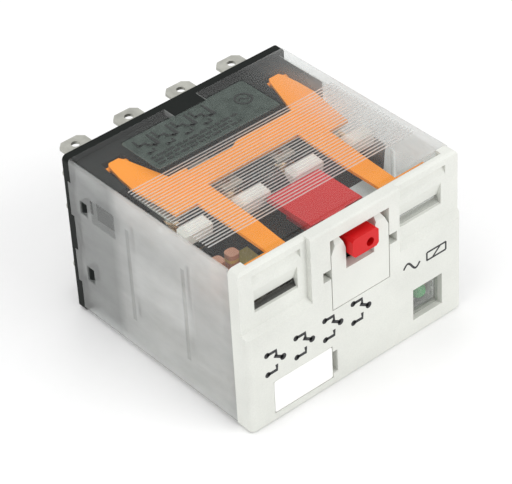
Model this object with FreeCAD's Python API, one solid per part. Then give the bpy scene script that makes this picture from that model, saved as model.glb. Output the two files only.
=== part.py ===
import FreeCAD, Part
import os

# Plug-in power relay with four changeover poles, lying on its narrow long side.
# X runs along the four poles, -Y is the front with the button, +Y is the plug side
# with the fourteen blades, +Z is the broad clear side with the flag under it.
# All sizes are millimetres. The model is drawn with Y = 0 on the front plane of the
# flag windows, and save() moves it so that Y = 0 is halfway between button and blade tips.

# ---- driving dimensions -------------------------------------------------------------
WIDTH = 41.3                 # case, along X
HEIGHT = 28.2                # case, along Z
FACE = -0.9                  # front face of the cap, lower half and centre block
FIELD = 0.0                  # sunk front plane round the two flag windows
CAP_BACK = 2.05              # joint between the cap and the clear cover
COVER_BACK = 37.4            # rear edge of the clear cover
COVER_BOTTOM = 0.4
BASE_BACK = 38.9             # the face that meets the socket
BLADE_TIP = 45.1
BUTTON_FRONT = -2.15
WALL = 1.0                   # clear cover
GAP = 0.1                    # ordinary assembly clearance

POLES = (-15.0, -5.0, 5.0, 15.0)
NC_ROW, NO_ROW, COM_ROW, COIL_ROW = 24.8, 20.4, 14.4, 3.4
COIL_BLADES = (-15.0, 15.0)
BLADE_W, BLADE_T = 4.7, 0.5
BLADE_HOLE_R = 0.7

PIVOT_Y, PIVOT_Z = 8.05, 4.0  # armature's knife edge on the front of the yoke
PULL_IN = 6.0                 # degrees between the released and the attracted armature
CORE_Z = 11.8                 # coil axis
FLAG_PIN_Y, FLAG_PIN_Z = 33.2, 26.3
DOOR_PIN_Y, DOOR_PIN_Z = 0.85, 20.2
DOOR_X = (-4.6, 6.2)
DOOR_Z = (13.7, 25.7)
BUTTON_X = (-1.7, 3.2)        # head of the test button
BUTTON_Z = (21.9, 25.1)
NOTCH_Z = 19.7                # lower end of the door's notch
PIN_OUT = 1.45                # hinge pin beyond the door's edge

# case
LATCHES_Z = ((19.6, 21.9), (7.1, 9.8))        # windows in the cover's side walls
LATCH_Y = (33.9, 35.6)
TABS_Z = ((18.0, 24.0), (5.8, 11.7))          # cover tongues that lap over the base flange
TAB_BACK = 38.1
KEY_X = (-2.8, 3.3)                           # notch in the cover's rear top edge
KEY_Y = 35.0
PLUG_FRONT = 27.5                             # front of the base block over the yoke
PLUG_FRONT_LOW = 28.6
PLUG_STEP_Z = 18.6
GROOVES, GROOVE_FIRST, GROOVE_PITCH = 29, 7.6, 0.625
GROOVE_HALF, GROOVE_DEPTH, GROOVE_END = 0.16, 0.13, 19.3
RIBS_Y, RIBS_Z = (12.2, 24.6), (6.0, 22.5)    # stiffening ribs inside the side walls

# front cap, its windows and its tag seat
BLOCK_HALF = 8.35                             # centre block between the window fields
RAMP_Z = (16.9, 17.8)                         # slope between the face and a window field
SLOTS_X, SLOT_Z = ((-18.0, -10.1), (9.2, 17.3)), (20.6, 21.7)    # flag windows
SLOT_DEPTH = 0.8                              # of the scoops that lead to them
LED_X, LED_Z = 14.5, 4.8
LED_WINDOW_X, LED_WINDOW_Z = (10.8, 16.6), (2.9, 8.5)
LED_RIM = 0.6                                 # rim of the lens behind the window's edge
TAG_X, TAG_Z = (-16.0, -5.1), (1.5, 7.1)
TAG_SLOT_X, TAG_SLOT_Z = (-5.1, -4.1), (2.2, 6.2)
PEG_R = 0.8
CAP_PEGS = ((-18.4, 12.0), (18.4, 12.0), (-18.4, 25.6), (18.4, 25.6))

# lamp circuit
BOARD_Y = (3.7, 4.7)
BOARD_X, BOARD_Z = (-18.9, 18.9), (1.9, 9.8)
RESISTORS_X = (-17.0, -14.4)
RESISTOR_Y, RESISTOR_Z, RESISTOR_HALF = 8.8, (18.2, 24.0), 0.95

# magnet
YOKE_X = (-9.0, 9.0)
YOKE_FRONT = PIVOT_Y + 0.05
YOKE_T = 1.6
YOKE_BACK_Y = (26.9, 28.5)
BOBBIN_Y = (9.35, 26.85)
FLANGE_T = 1.15
FLANGE_HALF = 6.1
FLANGE_X = 8.3
WOUND_Y = (BOBBIN_Y[0] + FLANGE_T + 0.02, BOBBIN_Y[1] - FLANGE_T - 0.02)
SHAFT_R, SPIGOT_R = 3.5, 2.5                  # coil core
RING_Z = CORE_Z + 1.2                         # centre of the shading ring

# contacts; the armature's pieces are given in the attracted position
CONTACT_R = 1.5
CONTACT_H = 0.6
SHANK_R = 0.6
NC_CONTACT_Y = 21.0
NO_CONTACT_Y = 23.0
STRIP_BACK = 29.0                             # where a strip widens into its blade
COM_TAB_Z = (18.2, 18.7)
RISER_Y = (29.6, 30.1)
ARMATURE_Y = (6.55, PIVOT_Y)
CARRIER_Y = (14.9, 17.3)
CARRIER_Z = (18.3, 22.9)
SPRING_Z = (21.85, 22.1)
MOVING_TOP, MOVING_BOTTOM, MOVING_R = 22.36, 21.35, 1.25
RIVETS_X = (-5.0, 5.0)
RIVET_Z = 15.9
CLAMP_TOP = 25.2                              # clamps that hold the springs on the carrier
CLAMP_Y = (16.3, 18.9)
CLAMPS_X = ((-17.9, -12.9), (-7.9, -2.2), (2.2, 7.9), (12.9, 17.9))

# flag
FLAG_TOP = 27.1                               # over its pins
FLAG_T = 0.5
FLAG_TILT = 3.0                               # degrees, front end low, when released
BRIDGE_FRONT = 20.8
PLATE_X, PLATE_Y, PLATE_Z = (8.85, 18.0), (3.35, 4.05), (20.2, 25.5)

HALF = WIDTH / 2
Y_MIDDLE = (BUTTON_FRONT + BLADE_TIP) / 2
V = FreeCAD.Vector


# ---- helpers ------------------------------------------------------------------------
def block(x, y, z):
    """Box between the two ends of each range."""
    return Part.makeBox(x[1] - x[0], y[1] - y[0], z[1] - z[0], V(x[0], y[0], z[0]))


def around(centre, half):
    """Range of a half width on both sides of a centre."""
    return (centre - half, centre + half)


def grown(span, extra):
    """Range made longer by the same amount at both ends."""
    return (span[0] - extra, span[1] + extra)


def rod(radius, start, end):
    """Cylinder between two points."""
    axis = V(*end) - V(*start)
    return Part.makeCylinder(radius, axis.Length, V(*start), axis)


def tube(outer, inner, start, end):
    return rod(outer, start, end).cut(rod(inner, start, end))


def wire(radius, points):
    """Bent round wire through points, with ball-shaped bends."""
    shape = rod(radius, points[0], points[1])
    for start, end in zip(points[1:], points[2:]):
        shape = shape.fuse([Part.makeSphere(radius, V(*start)), rod(radius, start, end)])
    return shape


def prism(points, plane, span):
    """Straight-edged outline pushed along the axis that its plane leaves out."""
    place = {
        "yz": lambda a, b: V(span[0], a, b),
        "xz": lambda a, b: V(a, span[0], b),
        "xy": lambda a, b: V(a, b, span[0]),
    }[plane]
    push = {"yz": V(1, 0, 0), "xz": V(0, 1, 0), "xy": V(0, 0, 1)}[plane]
    corners = [place(a, b) for a, b in points]
    outline = Part.makePolygon(corners + corners[:1])
    return Part.Face(outline).extrude(push * (span[1] - span[0]))


def rounded(shape, radius, wanted):
    """Fillet the edges that a test picks."""
    return shape.makeFillet(radius, [edge for edge in shape.Edges if wanted(edge)])


def runs_along(edge, axis):
    """True for a straight edge parallel to an axis letter."""
    if edge.Curve.TypeId != "Part::GeomLine":
        return False
    direction = edge.tangentAt(edge.FirstParameter)
    return abs(getattr(direction, axis)) > 0.999


def bar(x, y, z, radius, axis):
    """Block whose four edges along one axis are rounded."""
    return rounded(block(x, y, z), radius, lambda edge: runs_along(edge, axis))


def both_sides(shape):
    """The shape and its mirror image across X = 0."""
    return [shape, shape.mirror(V(0, 0, 0), V(1, 0, 0))]


def joined(shapes):
    """One solid from overlapping or touching pieces."""
    return shapes[0].fuse(shapes[1:]).removeSplitter()


def dome(x, y, z, radius, height, up):
    """Contact head: a flat disc with a shallow cone-cut crown, pointing up or down in Z."""
    sign = 1 if up else -1
    disc = rod(radius, (x, y, z), (x, y, z + sign * height / 2))
    crown = Part.makeCone(
        radius, radius * 0.55, height / 2, V(x, y, z + sign * height / 2), V(0, 0, sign)
    )
    return disc.fuse(crown)


def released(shape):
    """Turn a piece drawn in the attracted position back to where the spring holds it."""
    turned = shape.copy()
    turned.rotate(V(0, PIVOT_Y, PIVOT_Z), V(1, 0, 0), PULL_IN)
    return turned


def save(name, shape):
    moved = shape.copy()
    moved.translate(V(0, -Y_MIDDLE, 0))
    if not moved.isValid() or not moved.Solids:
        raise ValueError(name + " is not a valid solid")
    moved.exportStep("parts/" + name + ".step")


# ---- case ---------------------------------------------------------------------------
def base():
    inner = HALF - WALL - 0.15
    plug = block((-inner, inner), (PLUG_FRONT, COVER_BACK + 0.1), (1.5, HEIGHT - WALL - 0.1))
    flange = bar((-HALF, HALF), (COVER_BACK + 0.05, BASE_BACK), (0, HEIGHT - 0.1), 0.8, "y")
    key_x = (KEY_X[0] + GAP, KEY_X[1] - GAP)
    key = block(key_x, (KEY_Y + GAP, BASE_BACK - 0.4), (26, HEIGHT - 0.1))
    body = joined([plug, flange, key])

    cuts = [block((-inner - 1, inner + 1), (PLUG_FRONT - 1, PLUG_FRONT_LOW), (0, PLUG_STEP_Z))]
    for low, high in TABS_Z:
        notch_z = (low - GAP, high + GAP)
        notch = block((HALF - WALL - GAP, HALF + 1), (COVER_BACK, TAB_BACK + GAP), notch_z)
        cuts += both_sides(notch)

    # hollow cells that keep the moulding's walls even
    cells_z = ((5.0, 13.2), (COM_ROW + BLADE_T / 2 + 0.02, 19.5), (21.3, 24.0))
    for x in POLES:
        cuts += [block(around(x, 4.2), (PLUG_FRONT - 1, 36.4), cell_z) for cell_z in cells_z]

    # blade slots, right through
    rows = [(x, row) for x in POLES for row in (NC_ROW, NO_ROW, COM_ROW)]
    rows += [(x, COIL_ROW) for x in COIL_BLADES]
    for x, row in rows:
        width, thickness = around(x, BLADE_W / 2 + 0.05), around(row, BLADE_T / 2 + 0.04)
        cuts.append(block(width, (PLUG_FRONT - 1, BASE_BACK + 1), thickness))

    # bays for the flag's prongs, with blind bearings where their pins snap in
    bay = prism(
        [(11.8, PLUG_FRONT - 1), (17.8, PLUG_FRONT - 1), (17.7, 30.3), (17.1, 34.3), (13.6, 34.3),
         (13.3, 32.8), (11.8, 27.7)],
        "xy", (25.5, HEIGHT),
    )
    bearing = rod(0.56, (12.6, FLAG_PIN_Y, FLAG_PIN_Z), (18.1, FLAG_PIN_Y, FLAG_PIN_Z))
    cuts += both_sides(bay) + both_sides(bearing)
    body = body.cut(cuts)

    lugs = []
    root, tip = inner - 0.5, HALF - 0.2
    front, back = LATCH_Y[0] + GAP, LATCH_Y[1] - GAP
    ramp = [(root, front), (inner, front), (tip, back - 0.25), (tip, back), (root, back)]
    for low, high in LATCHES_Z:
        lugs += both_sides(prism(ramp, "xy", (low + GAP, high - GAP)))
    return joined([body] + lugs)


def clear_cover():
    top_tongue = 1.4
    outer = bar((-HALF, HALF), (CAP_BACK, COVER_BACK), (COVER_BOTTOM, HEIGHT), 0.6, "y")
    inside_z = (COVER_BOTTOM + WALL, HEIGHT - WALL)
    shell = outer.cut(block((-HALF + WALL, HALF - WALL), (CAP_BACK + WALL, BASE_BACK), inside_z))

    tongue = block((-18.2, 18.2), (top_tongue, CAP_BACK + 0.5), (HEIGHT - 0.9, HEIGHT - 0.35))
    tabs = []
    for low, high in TABS_Z:
        tabs += both_sides(block((HALF - WALL, HALF), (COVER_BACK - 1, TAB_BACK), (low, high)))
    ribs = []
    for y in RIBS_Y:
        ribs += both_sides(block((HALF - WALL - 0.4, HALF - 0.5), around(y, 0.35), RIBS_Z))
    shell = joined([shell, tongue] + tabs + ribs)

    cuts = [block(KEY_X, (KEY_Y, BASE_BACK), (HEIGHT - 2, HEIGHT + 1))]
    for low, high in LATCHES_Z:
        cuts += both_sides(block((HALF - WALL - 1, HALF + 1), LATCH_Y, (low, high)))
    front = (CAP_BACK - 1, CAP_BACK + WALL + 0.2)
    cuts.append(block((DOOR_X[0] - 0.4, DOOR_X[1] + 0.4), front, (DOOR_Z[0] - 0.4, DOOR_Z[1] + 0.6)))
    cuts.append(block(grown(LED_WINDOW_X, LED_RIM), front, grown(LED_WINDOW_Z, LED_RIM)))
    for x, z in CAP_PEGS:
        cuts.append(rod(PEG_R + 0.05, (x, front[0], z), (x, front[1], z)))

    # fine moulded grooves along X over the flag
    for i in range(GROOVES):
        y = GROOVE_FIRST + i * GROOVE_PITCH
        vee = [(y - GROOVE_HALF, HEIGHT + 0.01), (y, HEIGHT - GROOVE_DEPTH), (y + GROOVE_HALF, HEIGHT + 0.01)]
        cuts.append(prism(vee, "yz", (-GROOVE_END, GROOVE_END)))
    return shell.cut(cuts)


def window_field_cut():
    """What is taken off the right half of the cap to sink the field round its flag window."""
    ramp = prism(
        [(FACE - 1, RAMP_Z[0]), (FACE, RAMP_Z[0]), (FIELD, RAMP_Z[1]), (FIELD, HEIGHT - 0.4),
         (FIELD + 0.4, HEIGHT + 0.01), (FACE - 1, HEIGHT + 0.01)],
        "yz", (BLOCK_HALF, HALF + 1),
    )
    finger_groove = prism([(FIELD - 0.1, 26.8), (0.75, 26.6), (FIELD - 0.1, 25.0)], "yz", (9.4, 18.2))
    return ramp.fuse(finger_groove)


def flag_window_cut(slot_x):
    """Scooped approach and slot of one flag window."""
    low, high = SLOT_Z
    bowl = [(FIELD - 0.1, 24.4), (SLOT_DEPTH, high), (SLOT_DEPTH, low), (FIELD - 0.1, low - 0.25)]
    return prism(bowl, "yz", slot_x).fuse(block(slot_x, (FIELD, CAP_BACK + 1), SLOT_Z))


def front_cap():
    plate = block((-HALF, HALF), (FACE, CAP_BACK), (0, HEIGHT))
    plate = rounded(
        plate, 0.9,
        lambda edge: (runs_along(edge, "z") and edge.CenterOfMass.y < 0)
        or (runs_along(edge, "y") and abs(edge.CenterOfMass.x) > HALF - 0.1),
    )
    plate = rounded(plate, 0.4, lambda edge: runs_along(edge, "x") and edge.CenterOfMass.y < FACE + 0.01)
    cuts = both_sides(window_field_cut()) + [flag_window_cut(slot_x) for slot_x in SLOTS_X]
    cuts.append(block((-18.3, 18.3), (1.0, CAP_BACK + 1), (HEIGHT - 1.0, HEIGHT + 1)))
    cuts.append(block((-HALF + 1.3, HALF - 1.3), (1.5, CAP_BACK + 1), (1.3, HEIGHT - 1.3)))

    # opening for the door and button, with a floor behind the lower half of the door
    door_x = grown(DOOR_X, 0.15)
    floor_top = DOOR_PIN_Z - 1.2
    cuts.append(block(door_x, (FACE - 1, CAP_BACK + 1), (floor_top, DOOR_Z[1] + 0.25)))
    cuts.append(block(door_x, (FACE - 1, 0.8), (DOOR_Z[0] - 0.15, floor_top + 0.1)))
    for x in ((DOOR_X[0] - PIN_OUT - 0.15, DOOR_X[0]), (DOOR_X[1], DOOR_X[1] + PIN_OUT + 0.15)):
        cuts.append(block(x, (FACE - 1, 1.52), around(DOOR_PIN_Z, 0.87)))

    # window for the status lamp, and the tag's seat with its finger slot
    cuts.append(block(LED_WINDOW_X, (FACE - 1, CAP_BACK + 1), LED_WINDOW_Z))
    cuts.append(block(grown(LED_WINDOW_X, LED_RIM), (0.6, CAP_BACK + 1), grown(LED_WINDOW_Z, LED_RIM)))
    cuts.append(block(grown(TAG_X, GAP), (FACE - 1, 0.0), grown(TAG_Z, GAP)))
    cuts.append(block(TAG_SLOT_X, (FACE - 1, 0.9), TAG_SLOT_Z))
    pegs = [rod(PEG_R, (x, 1.2, z), (x, CAP_BACK + WALL, z)) for x, z in CAP_PEGS]
    return joined([plate.cut(cuts)] + pegs)


def id_tag():
    return bar(TAG_X, (FACE + 0.05, -0.02), TAG_Z, 0.3, "y")


def led_lens():
    x, z = grown(LED_WINDOW_X, -0.05), grown(LED_WINDOW_Z, -0.05)
    pane = block(x, (0.0, 0.65), z)
    rim = block(grown(x, LED_RIM), (0.62, 1.2), grown(z, LED_RIM))
    hollow = block(grown(x, -0.5), (0.5, 2), grown(z, -0.5))
    return joined([pane, rim]).cut(hollow)


# ---- status lamp circuit ------------------------------------------------------------
def status_led():
    body = rod(1.45, (LED_X, BOARD_Y[0] - 1.2, LED_Z), (LED_X, BOARD_Y[0], LED_Z))
    lamp = rod(1.25, (LED_X, 2.1, LED_Z), (LED_X, BOARD_Y[0], LED_Z))
    return joined([body, lamp, Part.makeSphere(1.25, V(LED_X, 2.1, LED_Z))])


def led_circuit_board():
    board = bar(BOARD_X, BOARD_Y, BOARD_Z, 0.5, "y")
    holes = [rod(0.3, (x, 3, 8.5), (x, 6, 8.5)) for x in RESISTORS_X]
    return board.cut(holes)


def resistor(x):
    body = bar(around(x, RESISTOR_HALF), around(RESISTOR_Y, RESISTOR_HALF), RESISTOR_Z, 0.7, "z")
    lead = wire(0.25, [(x, 4.0, 8.5), (x, RESISTOR_Y, 8.5), (x, RESISTOR_Y, RESISTOR_Z[0] + 0.2)])
    return joined([body, lead])


def led_lead_wire(side):
    x = side * 17.6
    blade_end = (side * 15.6, 26.4, 2.75)
    return wire(0.35, [(x, BOARD_Y[1] + 0.36, 5.0), (x, 7.0, 2.6), (x, 23.5, 2.6), blade_end])


# ---- magnet -------------------------------------------------------------------------
def yoke():
    leg = block(YOKE_X, (YOKE_FRONT, YOKE_BACK_Y[1]), (PIVOT_Z, PIVOT_Z + YOKE_T))
    back = bar(YOKE_X, YOKE_BACK_Y, (PIVOT_Z, 17.5), 0.4, "y")
    hook = block((-1.0, 1.0), (20.2, 20.9), (2.1, PIVOT_Z))
    spigot_hole = rod(SPIGOT_R + 0.02, (0, 26, CORE_Z), (0, 30, CORE_Z))
    return joined([leg, back, hook]).cut(spigot_hole)


def coil_core():
    face = PIVOT_Y + 0.05
    head = rod(5.0, (0, face, CORE_Z), (0, 9.3, CORE_Z))
    shaft = rod(SHAFT_R, (0, 9.0, CORE_Z), (0, YOKE_BACK_Y[0], CORE_Z))
    spigot = rod(SPIGOT_R, (0, 26.5, CORE_Z), (0, YOKE_BACK_Y[1], CORE_Z))
    ring_seat = tube(3.32, 2.38, (0, face - 1, RING_Z), (0, face + 0.8, RING_Z))
    return joined([head, shaft, spigot]).cut(ring_seat)


def shading_ring():
    face = PIVOT_Y + 0.1
    return tube(3.3, 2.4, (0, face, RING_Z), (0, face + 0.74, RING_Z))


def coil_bobbin():
    sleeve = rod(4.3, (0, BOBBIN_Y[0], CORE_Z), (0, BOBBIN_Y[1], CORE_Z))
    z = around(CORE_Z, FLANGE_HALF)
    front = bar((-FLANGE_X, FLANGE_X), (BOBBIN_Y[0], BOBBIN_Y[0] + FLANGE_T), z, 1.2, "y")
    rear = bar((-FLANGE_X, FLANGE_X), (BOBBIN_Y[1] - FLANGE_T, BOBBIN_Y[1]), z, 1.2, "y")
    bore = rod(SHAFT_R + 0.05, (0, 9, CORE_Z), (0, 27.2, CORE_Z))
    return joined([sleeve, front, rear]).cut(bore)


def coil_winding():
    return tube(5.85, 4.32, (0, WOUND_Y[0], CORE_Z), (0, WOUND_Y[1], CORE_Z))


def coil_tape():
    return tube(6.02, 5.87, (0, WOUND_Y[0] + 0.2, CORE_Z), (0, WOUND_Y[1] - 0.2, CORE_Z))


def coil_lead_wire(side):
    x = side * (FLANGE_X + 0.1)
    return wire(0.3, [(x, 26.2, 7.5), (side * 12.0, 26.5, 7.2), (side * 14.6, 27.2, 4.0)])


def return_spring():
    return tube(0.8, 0.5, (0, 8.9, 2.75), (0, 20.1, 2.75))


# ---- terminals and fixed contacts -----------------------------------------------------
def blade(x, row, inner_end, inner_width):
    """Flat plug blade with a clipped tip and a small hole, and a narrower strip inside the base."""
    half = BLADE_W / 2
    neck = inner_width / 2
    clip = 0.9
    right = [(neck, inner_end), (neck, STRIP_BACK), (half, STRIP_BACK + 1), (half, BLADE_TIP - clip),
             (half - clip, BLADE_TIP)]
    left = [(-a, y) for a, y in reversed(right)]
    outline = [(x + a, y) for a, y in right + left]
    strip = prism(outline, "xy", around(row, BLADE_T / 2))
    return strip.cut(rod(BLADE_HOLE_R, (x, 43.4, row - 1), (x, 43.4, row + 1)))


def shank_hole(x, y, row):
    return rod(SHANK_R + 0.02, (x, y, row - 1), (x, y, row + 1))


def nc_terminal(x):
    return blade(x, NC_ROW, NC_CONTACT_Y - 1.7, 3.4).cut(shank_hole(x, NC_CONTACT_Y, NC_ROW))


def no_terminal(x):
    return blade(x, NO_ROW, NO_CONTACT_Y - 1.7, 3.4).cut(shank_hole(x, NO_CONTACT_Y, NO_ROW))


def com_terminal(x):
    flat = blade(x, COM_ROW, RISER_Y[0], 3.0)
    riser = block(around(x, 1.5), RISER_Y, (COM_ROW - BLADE_T / 2, COM_TAB_Z[1]))
    tab = block(around(x, 1.5), (24.6, RISER_Y[1]), COM_TAB_Z)
    return joined([flat, riser, tab])


def coil_terminal(x):
    return blade(x, COIL_ROW, 26.0, 2.4)


def fixed_contact(x, y, row, up):
    """Rivet head on one face of a strip, with its shank flush on the other."""
    face = row + BLADE_T / 2 * (1 if up else -1)
    shank = rod(SHANK_R, (x, y, row - BLADE_T / 2), (x, y, row + BLADE_T / 2))
    return joined([dome(x, y, face, CONTACT_R, CONTACT_H, up), shank])


def contact_comb():
    """Insulating shelf over the coil with walls between the poles."""
    shelf = block((-18.8, 18.8), (17.9, PLUG_FRONT - 0.05), (18.9, 19.6))
    walls = [block(around(x, 0.6), (20.5, PLUG_FRONT - 0.05), (19.5, 25.0)) for x in (-10, 0, 10)]
    notches = [block(around(x, 2.2), (17, 19.1), (18, 20)) for x in POLES]
    return joined([shelf] + walls).cut(notches)


def flexible_braid(x):
    """Copper braid from the common terminal's tab towards the moving spring."""
    return wire(0.42, [(x, 24.5, 18.3), (x, 19.1, 18.3), (x, 18.45, 18.8), (x, 18.4, 20.4)])


# ---- armature assembly, drawn in the attracted position -------------------------------
def armature_plate():
    plate = bar((-9.0, 9.0), ARMATURE_Y, (3.1, 17.5), 0.6, "y")
    tail = block((-1.5, 1.5), ARMATURE_Y, (1.9, 3.3))
    holes = [rod(0.72, (x, 5, RIVET_Z), (x, 9, RIVET_Z)) for x in RIVETS_X]
    return joined([plate, tail]).cut(holes)


def contact_carrier():
    boss = block((-8.0, 8.0), (5.4, ARMATURE_Y[0] - 0.02), (13.6, 18.4))
    arm = block((-8.0, 8.0), (5.4, CARRIER_Y[0] + 0.2), (18.3, 19.3))
    beam = block((-18.6, 18.6), CARRIER_Y, CARRIER_Z)
    hollow_y, slot_y = (CARRIER_Y[0] - 1, CARRIER_Y[0] + 0.9), (15.6, CARRIER_Y[1] + 1)
    cuts = [block(around(x, 3.2), hollow_y, (19.6, 23.6)) for x in POLES]
    cuts += [block(around(x, 1.62), slot_y, grown(SPRING_Z, 0.01)) for x in POLES]
    cuts += [rod(0.72, (x, 5, RIVET_Z), (x, 9, RIVET_Z)) for x in RIVETS_X]
    cuts += [rod(1.25, (x, 4, RIVET_Z), (x, 5.8, RIVET_Z)) for x in RIVETS_X]
    return joined([boss, arm, beam]).cut(cuts)


def spring_clamp(x_range):
    """Clamp seated on the carrier's beam over the root of one moving spring."""
    low, top, shoulder = CARRIER_Z[1], CLAMP_TOP, 24.4
    front, back = CLAMP_Y
    left, right = x_range
    side = [(front, low), (CARRIER_Y[1], low), (back, low + 0.9), (back, shoulder), (back - 0.8, top),
            (front + 0.4, top), (front, top - 0.4)]
    end = [(left, low), (right, low), (right, shoulder), (right - 0.7, top), (left + 0.7, top),
           (left, shoulder)]
    body = prism(side, "yz", x_range).common(prism(end, "xz", (front - 1, back + 1)))
    return rounded(body, 0.5, lambda edge: runs_along(edge, "z"))


def carrier_rivet(x):
    head = rod(1.2, (x, 5.42, RIVET_Z), (x, 5.79, RIVET_Z))
    shank = rod(0.7, (x, 5.6, RIVET_Z), (x, ARMATURE_Y[1], RIVET_Z))
    return joined([head, shank])


def moving_spring(x):
    tip_y = NO_CONTACT_Y + 0.3
    root_y, taper_y = 15.7, 18.3
    outline = [(x - 1.6, root_y), (x + 1.6, root_y), (x + 1.6, taper_y), (x + 1.3, tip_y), (x - 1.3, tip_y),
               (x - 1.6, taper_y)]
    leaf = prism(outline, "xy", SPRING_Z)
    end = rod(1.3, (x, tip_y, SPRING_Z[0]), (x, tip_y, SPRING_Z[1]))
    return joined([leaf, end]).cut(rod(SHANK_R + 0.02, (x, NO_CONTACT_Y, 21), (x, NO_CONTACT_Y, 23)))


def moving_contact(x):
    shank = rod(SHANK_R, (x, NO_CONTACT_Y, SPRING_Z[0]), (x, NO_CONTACT_Y, SPRING_Z[1]))
    upper = dome(x, NO_CONTACT_Y, SPRING_Z[1], MOVING_R, MOVING_TOP - SPRING_Z[1], True)
    lower = dome(x, NO_CONTACT_Y, SPRING_Z[0], MOVING_R, SPRING_Z[0] - MOVING_BOTTOM, False)
    return joined([shank, upper, lower])


# ---- flag, button and door ------------------------------------------------------------
def tilted(shape):
    """Turn the flag's flat part about its pins to its released slope."""
    turned = shape.copy()
    turned.rotate(V(0, FLAG_PIN_Y, FLAG_PIN_Z), V(1, 0, 0), FLAG_TILT)
    return turned


def flag_side():
    """Right half of the flag: pin, prong and front leg in one slope, and the upright indicator plate."""
    outline = [
        (8.6, BRIDGE_FRONT), (8.6, 10.0), (8.85, 5.0), (8.85, PLATE_Y[0] + 0.25), (12.1, PLATE_Y[0] + 0.25),
        (12.2, 10.0), (12.5, 18.4), (16.3, 18.4), (16.5, 21.0), (17.3, 27.0), (17.1, 30.0), (16.6, 33.1),
        (16.2, 33.8), (14.4, 33.8), (13.9, 33.0), (11.7, 25.7), (8.6, 25.7),
    ]
    flat = prism(outline, "xy", (FLAG_TOP - FLAG_T, FLAG_TOP))
    pin = rod(0.5, (12.9, FLAG_PIN_Y, FLAG_PIN_Z), (17.8, FLAG_PIN_Y, FLAG_PIN_Z))
    cheek = block((14.3, 16.3), (32.4, 33.7), (FLAG_PIN_Z - 0.5, FLAG_TOP - 0.3))
    plate = bar(PLATE_X, PLATE_Y, PLATE_Z, 0.5, "y")
    return [tilted(flat), pin, cheek, plate]


def flag_indicator():
    """H-shaped flag: the rear edge of its crossbar steps back towards the right."""
    right_back, left_back = 25.7, 24.8
    bridge = prism(
        [(-9.0, BRIDGE_FRONT), (9.0, BRIDGE_FRONT), (9.0, right_back), (1.2, right_back), (-0.6, left_back),
         (-9.0, left_back)],
        "xy", (FLAG_TOP - FLAG_T, FLAG_TOP),
    )
    pieces = [tilted(bridge)]
    for piece in flag_side():
        pieces += both_sides(piece)
    return joined(pieces)


def test_button():
    low, high = BUTTON_Z
    left, right = BUTTON_X
    clip = 0.45
    outline = [
        (left + clip, low), (right - clip, low), (right, low + clip), (right, high - clip),
        (right - clip, high), (left + clip, high), (left, high - clip), (left, low + clip),
    ]
    head = prism(outline, "xz", (BUTTON_FRONT, 4.8))
    eye_x, eye_z = right - 1.6, low + 1.3
    head = head.cut(rod(0.7, (eye_x, BUTTON_FRONT - 1, eye_z), (eye_x, BUTTON_FRONT + 1.3, eye_z)))
    blade_side = [(4.4, 24.1), (13.9, 24.1), (13.9, 24.9), (13.7, 25.1), (4.4, 25.1)]
    pusher = prism(blade_side, "yz", (-3.5, 6.2))
    stem = bar((-1.2, 2.7), (4.4, 12.5), (20.4, 24.6), 0.4, "y")
    rail = block((-8.4, 8.4), (4.6, 7.8), (20.4, 21.3))
    return joined([head, pusher, stem, rail])


def lock_door():
    x0, x1 = DOOR_X
    notch = grown(BUTTON_X, 0.2)
    outline = [
        (x0, DOOR_Z[0]), (x1, DOOR_Z[0]), (x1, 23.3), (x1 - 1.2, DOOR_Z[1]),
        (notch[1] + 0.8, DOOR_Z[1]), (notch[1], 23.4), (notch[1], NOTCH_Z),
        (notch[0], NOTCH_Z), (notch[0], 23.4), (notch[0] - 0.8, DOOR_Z[1]),
        (x0 + 1.2, DOOR_Z[1]), (x0, 23.3),
    ]
    plate = prism(outline, "xz", (FACE, 0.6))
    top = DOOR_Z[1]
    slope = [(FACE - 0.1, top - 1.1), (FACE - 0.1, top + 1), (0.2, top + 1), (0.2, top)]
    pieces = [plate.cut(prism(slope, "yz", (x0 - 1, x1 + 1)))]
    left_ear = ((x0, x0 + 1.0), (x0 - PIN_OUT, x0 + 0.5))
    right_ear = ((x1 - 1.0, x1), (x1 - 0.5, x1 + PIN_OUT))
    for ear_x, pin_x in (left_ear, right_ear):
        ear = block(ear_x, (0.5, DOOR_PIN_Y + 0.5), around(DOOR_PIN_Z, 0.8))
        pin = rod(0.55, (pin_x[0], DOOR_PIN_Y, DOOR_PIN_Z), (pin_x[1], DOOR_PIN_Y, DOOR_PIN_Z))
        pieces += [ear, pin]
    return joined(pieces)


# ---- everything, one file per piece ---------------------------------------------------
def group(shapes):
    """Separate solids of one kind kept in one file."""
    return Part.makeCompound(shapes)


os.makedirs("parts", exist_ok=True)

single_pieces = (
    base, clear_cover, front_cap, id_tag, led_lens, status_led, led_circuit_board,
    yoke, coil_core, shading_ring, coil_bobbin, coil_winding, coil_tape, return_spring,
    contact_comb, flag_indicator, test_button, lock_door,
)
for make in single_pieces:
    save(make.__name__, make())

for make in (armature_plate, contact_carrier):
    save(make.__name__, released(make()))

for number, x in enumerate(POLES, start=1):
    save("nc_terminal_%d" % number, nc_terminal(x))
    save("no_terminal_%d" % number, no_terminal(x))
    save("com_terminal_%d" % number, com_terminal(x))
    save("moving_spring_%d" % number, released(moving_spring(x)))

for number, x in enumerate(COIL_BLADES, start=1):
    save("coil_terminal_%d" % number, coil_terminal(x))

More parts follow.
